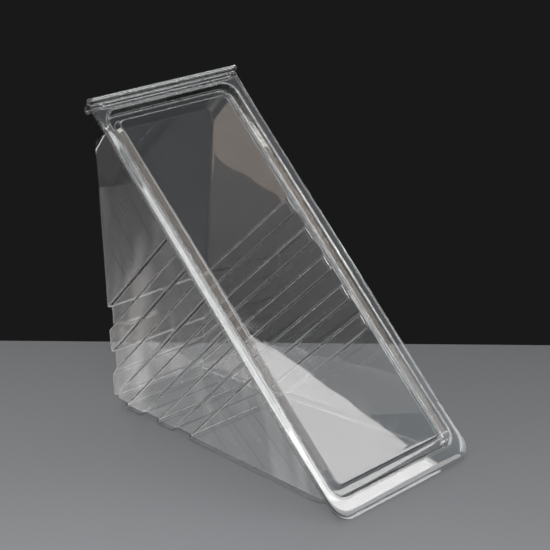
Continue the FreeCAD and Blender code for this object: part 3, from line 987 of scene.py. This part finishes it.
def add_lamp(name, azimuth, reach, height, aim, size, roll, radiance, tone):
    """Flat soft light, seen only by what it lights."""
    lamp = bpy.data.lights.new(name, "AREA")
    lamp.shape = "RECTANGLE"
    lamp.size, lamp.size_y = size
    lamp.energy = radiance * math.pi * size[0] * size[1]
    lamp.color = tone
    holder = add_object(name, lamp)
    holder.visible_camera = False
    angle = math.radians(azimuth)
    place = Vector((reach * math.cos(angle), reach * math.sin(angle), height))
    way = Vector((0, 0, 1)) if aim is None else (Vector((0, 0, aim)) - place).normalized()
    turn = way.to_track_quat("-Z", "Y").to_matrix().to_4x4()
    if aim is None:
        turn = Matrix.Rotation(angle, 4, "Z") @ turn
        holder.visible_transmission = False
        lamp.use_nodes = True
        streak_lamp(lamp.node_tree)
    holder.matrix_world = Matrix.Translation(place) @ turn @ Matrix.Rotation(math.radians(roll), 4, "Z")


def streak_lamp(tree):
    """Breaks a lamp's face into soft streaks that fade towards one end."""
    face = node(tree, "ShaderNodeNewGeometry").outputs["Parametric"]
    stretch = node(tree, "ShaderNodeMapping", face, Scale=(1.6, 12.0, 1.0)).outputs[0]
    noise = node(tree, "ShaderNodeTexNoise", Vector=stretch, Scale=1.0, Detail=2.0).outputs[0]
    streak = node(
        tree, "ShaderNodeMapRange", noise, From_Min=0.50, From_Max=0.66, To_Min=0.9, To_Max=2.6
    )
    along = node(tree, "ShaderNodeSeparateXYZ", face).outputs["X"]
    soft = {"interpolation_type": "SMOOTHSTEP"}
    fade = node(tree, "ShaderNodeMapRange", along, setup=soft, From_Max=0.6, To_Min=0.3)
    power = maths(tree, "MULTIPLY", streak.outputs[0], fade.outputs[0])
    feed(tree, tree.nodes["Emission"], Strength=power)


def add_room(look):
    """Soft room light, and a dark floor far below that shows behind the table."""
    world = bpy.data.worlds.new("room")
    world.use_nodes = True
    tree = world.node_tree
    seen = node(tree, "ShaderNodeLightPath").outputs["Is Camera Ray"]
    mix = node(tree, "ShaderNodeMix", seen, setup={"data_type": "RGBA"})
    # sockets 6 and 7 are the two colours that are mixed
    mix.inputs[6].default_value = (*look.room, 1)
    mix.inputs[7].default_value = (*look.backdrop, 1)
    feed(tree, tree.nodes["Background"], mix.outputs[2])
    bpy.context.scene.world = world

    mesh = bpy.data.meshes.new("dark_floor")
    square = ((-1, -1), (1, -1), (1, 1), (-1, 1))
    corners = [(x * FLOOR_REACH, y * FLOOR_REACH, -FLOOR_DROP) for x, y in square]
    mesh.from_pydata(corners, [], [(0, 1, 2, 3)])
    material, tree, shader = new_material("dark_floor")
    feed(
        tree, shader, Base_Color=(0, 0, 0, 1), Specular_IOR_Level=0.0, Roughness=1.0,
        Emission_Color=(*look.backdrop, 1), Emission_Strength=1.0,
    )
    mesh.materials.append(material)
    floor = add_object("dark_floor", mesh)


# ---- operators
class WEDGE_OT_tray(bpy.types.Operator):
    """Form the belted tray from one sheet"""

    bl_idname = "wedge.tray"
    bl_label = "Form Tray"

    def execute(self, context):
        belt = context.scene.wedge_belts
        mesh, middle = tray_mesh(context.scene)
        piece = add_object("formed_tray", mesh)
        material = clear_sheet("clear_sheet_tray", 0.014)
        values = {name: getattr(belt, name.lower()) for name in BELT_VALUES}
        press(piece, material, 3, Belts=belt.count, Middle=middle, **values)
        finish_piece(piece, "tray", "base", material)
        return {"FINISHED"}


class WEDGE_OT_lid(bpy.types.Operator):
    """Form the lid with its channel, bead and bar"""

    bl_idname = "wedge.lid"
    bl_label = "Form Lid"

    def execute(self, context):
        piece = add_object("formed_lid", lid_mesh(context.scene))
        material = clear_sheet("clear_sheet_lid", 0.022, ripple=0.7)
        press(piece, material, 8, Belts=1)
        finish_piece(piece, "lid", "lid", material)
        return {"FINISHED"}


class WEDGE_OT_hinge(bpy.types.Operator):
    """Fold the hinge strip between tray and lid"""

    bl_idname = "wedge.hinge"
    bl_label = "Fold Hinge"

    def execute(self, context):
        scene = context.scene
        piece = add_object("folded_hinge", hinge_mesh(scene))
        finish_piece(piece, "hinge_strip", None, clear_sheet("clear_sheet_fold", 0.003, haze=2.0))
        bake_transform(piece)
        return {"FINISHED"}


class WEDGE_OT_stage(bpy.types.Operator):
    """Set the table, the backdrop, the lights and the camera"""

    bl_idname = "wedge.stage"
    bl_label = "Set Stage"

    def execute(self, context):
        look = context.scene.wedge_stage
        context.scene.view_settings.view_transform = "Standard"
        adjust(
            context.scene.cycles, max_bounces=32, transmission_bounces=32, glossy_bounces=1,
            transparent_max_bounces=32, caustics_reflective=False, caustics_refractive=False,
        )
        add_camera(look)
        add_table(look)
        add_room(look)
        for name, lamp in LAMPS.items():
            add_lamp(name, *lamp)
        return {"FINISHED"}


class WEDGE_PT_panel(bpy.types.Panel):
    """Steps that build the pack's looks"""

    bl_label = "Sandwich Wedge"
    bl_idname = "WEDGE_PT_panel"
    bl_space_type = "VIEW_3D"
    bl_region_type = "UI"
    bl_category = "Wedge"

    def draw(self, context):
        for step in STEPS:
            self.layout.operator(step.bl_idname)


SETTINGS = {
    "wedge_sheet": WedgeSheetSizes,
    "wedge_tray": WedgeTraySizes,
    "wedge_belts": WedgeBeltSizes,
    "wedge_lid": WedgeLidSizes,
    "wedge_hinge": WedgeHingeSizes,
    "wedge_look": WedgeSheetLook,
    "wedge_stage": WedgeStageLook,
}
STEPS = (WEDGE_OT_tray, WEDGE_OT_lid, WEDGE_OT_hinge, WEDGE_OT_stage)
CLASSES = (*SETTINGS.values(), *STEPS, WEDGE_PT_panel)


def register():
    for kind in CLASSES:
        bpy.utils.register_class(kind)
    for name, kind in SETTINGS.items():
        setattr(bpy.types.Scene, name, bpy.props.PointerProperty(type=kind))


def unregister():
    for name in SETTINGS:
        delattr(bpy.types.Scene, name)
    for kind in reversed(CLASSES):
        bpy.utils.unregister_class(kind)


def main():
    register()
    bpy.ops.wedge.tray()
    bpy.ops.wedge.lid()
    bpy.ops.wedge.hinge()
    bpy.ops.wedge.stage()


if __name__ == "__main__":
    main()
